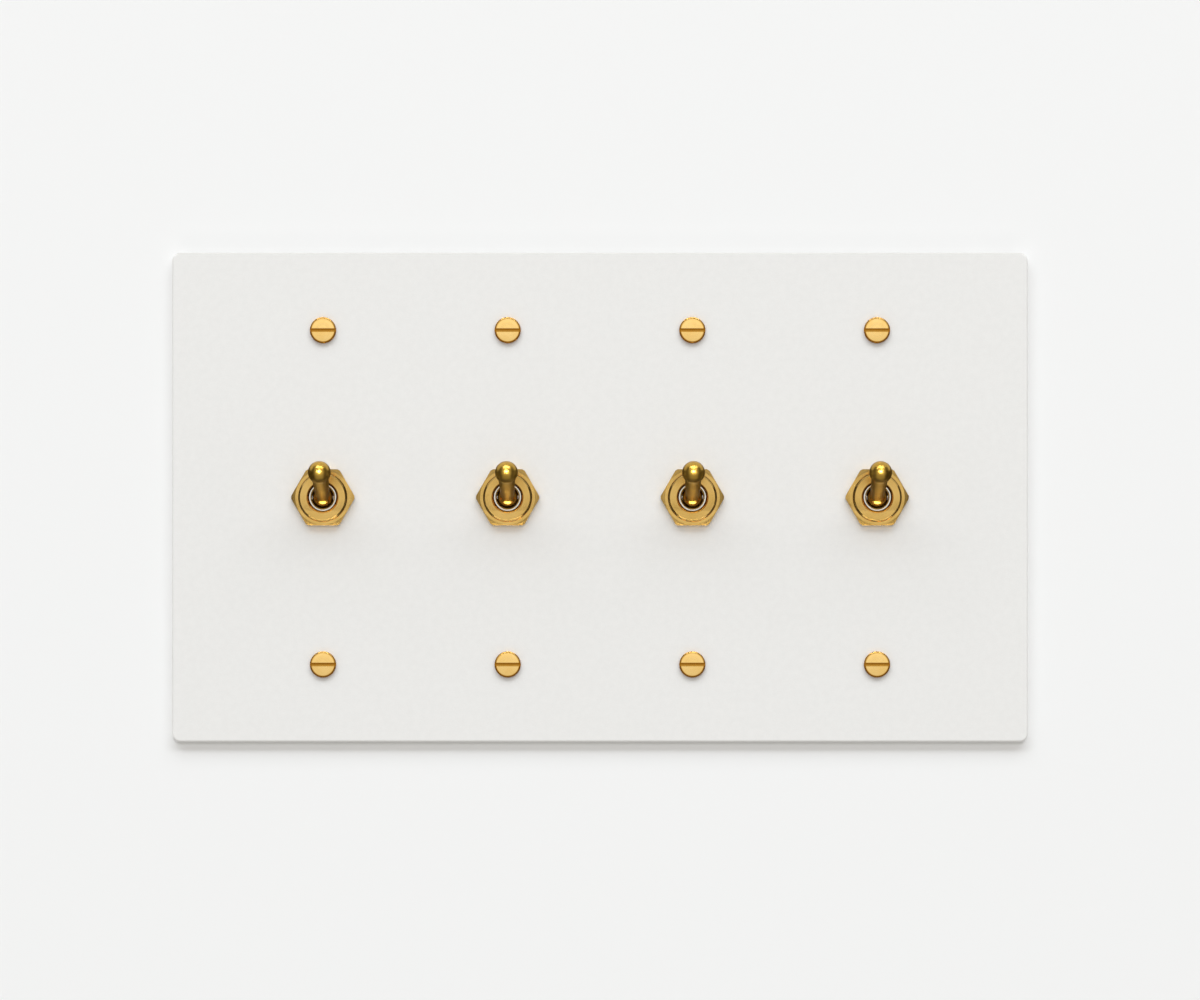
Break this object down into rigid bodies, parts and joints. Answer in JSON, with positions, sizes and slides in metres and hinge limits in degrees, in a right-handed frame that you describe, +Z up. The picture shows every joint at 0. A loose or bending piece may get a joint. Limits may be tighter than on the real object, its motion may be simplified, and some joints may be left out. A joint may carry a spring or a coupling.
{
  "type": "toggle switch plate",
  "caption": "Wide flat wall plate with a row of ball-tipped toggle switches in hexagon nuts and slotted screws above and below each, dark switch bodies behind",
  "frame": {"origin": "centre of the plate's back face, in the wall plane, which is also the centre of both screw patterns", "axes": "+X to the right along the plate's width, +Y into the wall, +Z up; the front faces -Y"},
  "size_m": [0.2134, 0.0484, 0.122],
  "materials": {
    "powder_coat": "off-white matt powder coat with a very fine mottle",
    "polished_brass": "polished brass",
    "brass": "satin turned brass",
    "brass_lever": "satin turned brass, a little darker",
    "nickel": "bright nickel plate",
    "steel": "ground steel",
    "zinc_steel": "bright zinc plate",
    "phenolic": "dark moulded phenolic",
    "fibre": "red-brown vulcanised fibre",
    "nylon": "natural moulded nylon",
    "copper": "bright copper",
    "bronze": "rolled phosphor bronze",
    "terminal_brass": "rolled brass strip",
    "terminal_screw": "brass screw"
  },
  "bodies": {
    "switch_plate": {"face_plate": "powder_coat", "box_screws": "polished_brass", "lock_nuts": "brass", "back_nuts": "zinc_steel", "lock_washers": "zinc_steel", "terminal_screws": "terminal_screw", "bushing_1": "brass", "bushing_2": "brass", "bushing_3": "brass", "bushing_4": "brass", "seat_ring_1": "nickel", "seat_ring_2": "nickel", "seat_ring_3": "nickel", "seat_ring_4": "nickel", "pivot_pin_1": "steel", "pivot_pin_2": "steel", "pivot_pin_3": "steel", "pivot_pin_4": "steel", "frame_1": "zinc_steel", "frame_2": "zinc_steel", "frame_3": "zinc_steel", "frame_4": "zinc_steel", "housing_1": "phenolic", "housing_2": "phenolic", "housing_3": "phenolic", "housing_4": "phenolic", "insulator_1": "fibre", "insulator_2": "fibre", "insulator_3": "fibre", "insulator_4": "fibre", "common_terminal_1": "terminal_brass", "common_terminal_2": "terminal_brass", "common_terminal_3": "terminal_brass", "common_terminal_4": "terminal_brass", "upper_terminal_1": "terminal_brass", "upper_terminal_2": "terminal_brass", "upper_terminal_3": "terminal_brass", "upper_terminal_4": "terminal_brass", "lower_terminal_1": "terminal_brass", "lower_terminal_2": "terminal_brass", "lower_terminal_3": "terminal_brass", "lower_terminal_4": "terminal_brass"},
    "toggle_1": {"lever_1": "brass_lever"},
    "carrier_1": {"slider_1": "nylon", "contact_bridge_1": "copper", "contact_spring_1": "bronze"},
    "toggle_2": {"lever_2": "brass_lever"},
    "carrier_2": {"slider_2": "nylon", "contact_bridge_2": "copper", "contact_spring_2": "bronze"},
    "toggle_3": {"lever_3": "brass_lever"},
    "carrier_3": {"slider_3": "nylon", "contact_bridge_3": "copper", "contact_spring_3": "bronze"},
    "toggle_4": {"lever_4": "brass_lever"},
    "carrier_4": {"slider_4": "nylon", "contact_bridge_4": "copper", "contact_spring_4": "bronze"}
  },
  "joints": [
    {"name": "toggle_1_tilt", "type": "hinge", "parent": "switch_plate", "child": "toggle_1", "pos_m": [-0.06906, -0.0038, 0], "axis": [1, 0, 0], "range_deg": [0, 36]},
    {"name": "carrier_1_slide", "type": "slide", "parent": "switch_plate", "child": "carrier_1", "axis": [0, 0, 1], "range_m": [0, 0.00866]},
    {"name": "toggle_2_tilt", "type": "hinge", "parent": "switch_plate", "child": "toggle_2", "pos_m": [-0.02302, -0.0038, 0], "axis": [1, 0, 0], "range_deg": [0, 36]},
    {"name": "carrier_2_slide", "type": "slide", "parent": "switch_plate", "child": "carrier_2", "axis": [0, 0, 1], "range_m": [0, 0.00866]},
    {"name": "toggle_3_tilt", "type": "hinge", "parent": "switch_plate", "child": "toggle_3", "pos_m": [0.02302, -0.0038, 0], "axis": [1, 0, 0], "range_deg": [0, 36]},
    {"name": "carrier_3_slide", "type": "slide", "parent": "switch_plate", "child": "carrier_3", "axis": [0, 0, 1], "range_m": [0, 0.00866]},
    {"name": "toggle_4_tilt", "type": "hinge", "parent": "switch_plate", "child": "toggle_4", "pos_m": [0.06906, -0.0038, 0], "axis": [1, 0, 0], "range_deg": [0, 36]},
    {"name": "carrier_4_slide", "type": "slide", "parent": "switch_plate", "child": "carrier_4", "axis": [0, 0, 1], "range_m": [0, 0.00866]}
  ],
  "couplings": [
    {"joint": "carrier_1_slide", "follows": "toggle_1_tilt", "m_per_rad": 0.013771},
    {"joint": "carrier_2_slide", "follows": "toggle_2_tilt", "m_per_rad": 0.013771},
    {"joint": "carrier_3_slide", "follows": "toggle_3_tilt", "m_per_rad": 0.013771},
    {"joint": "carrier_4_slide", "follows": "toggle_4_tilt", "m_per_rad": 0.013771}
  ]
}
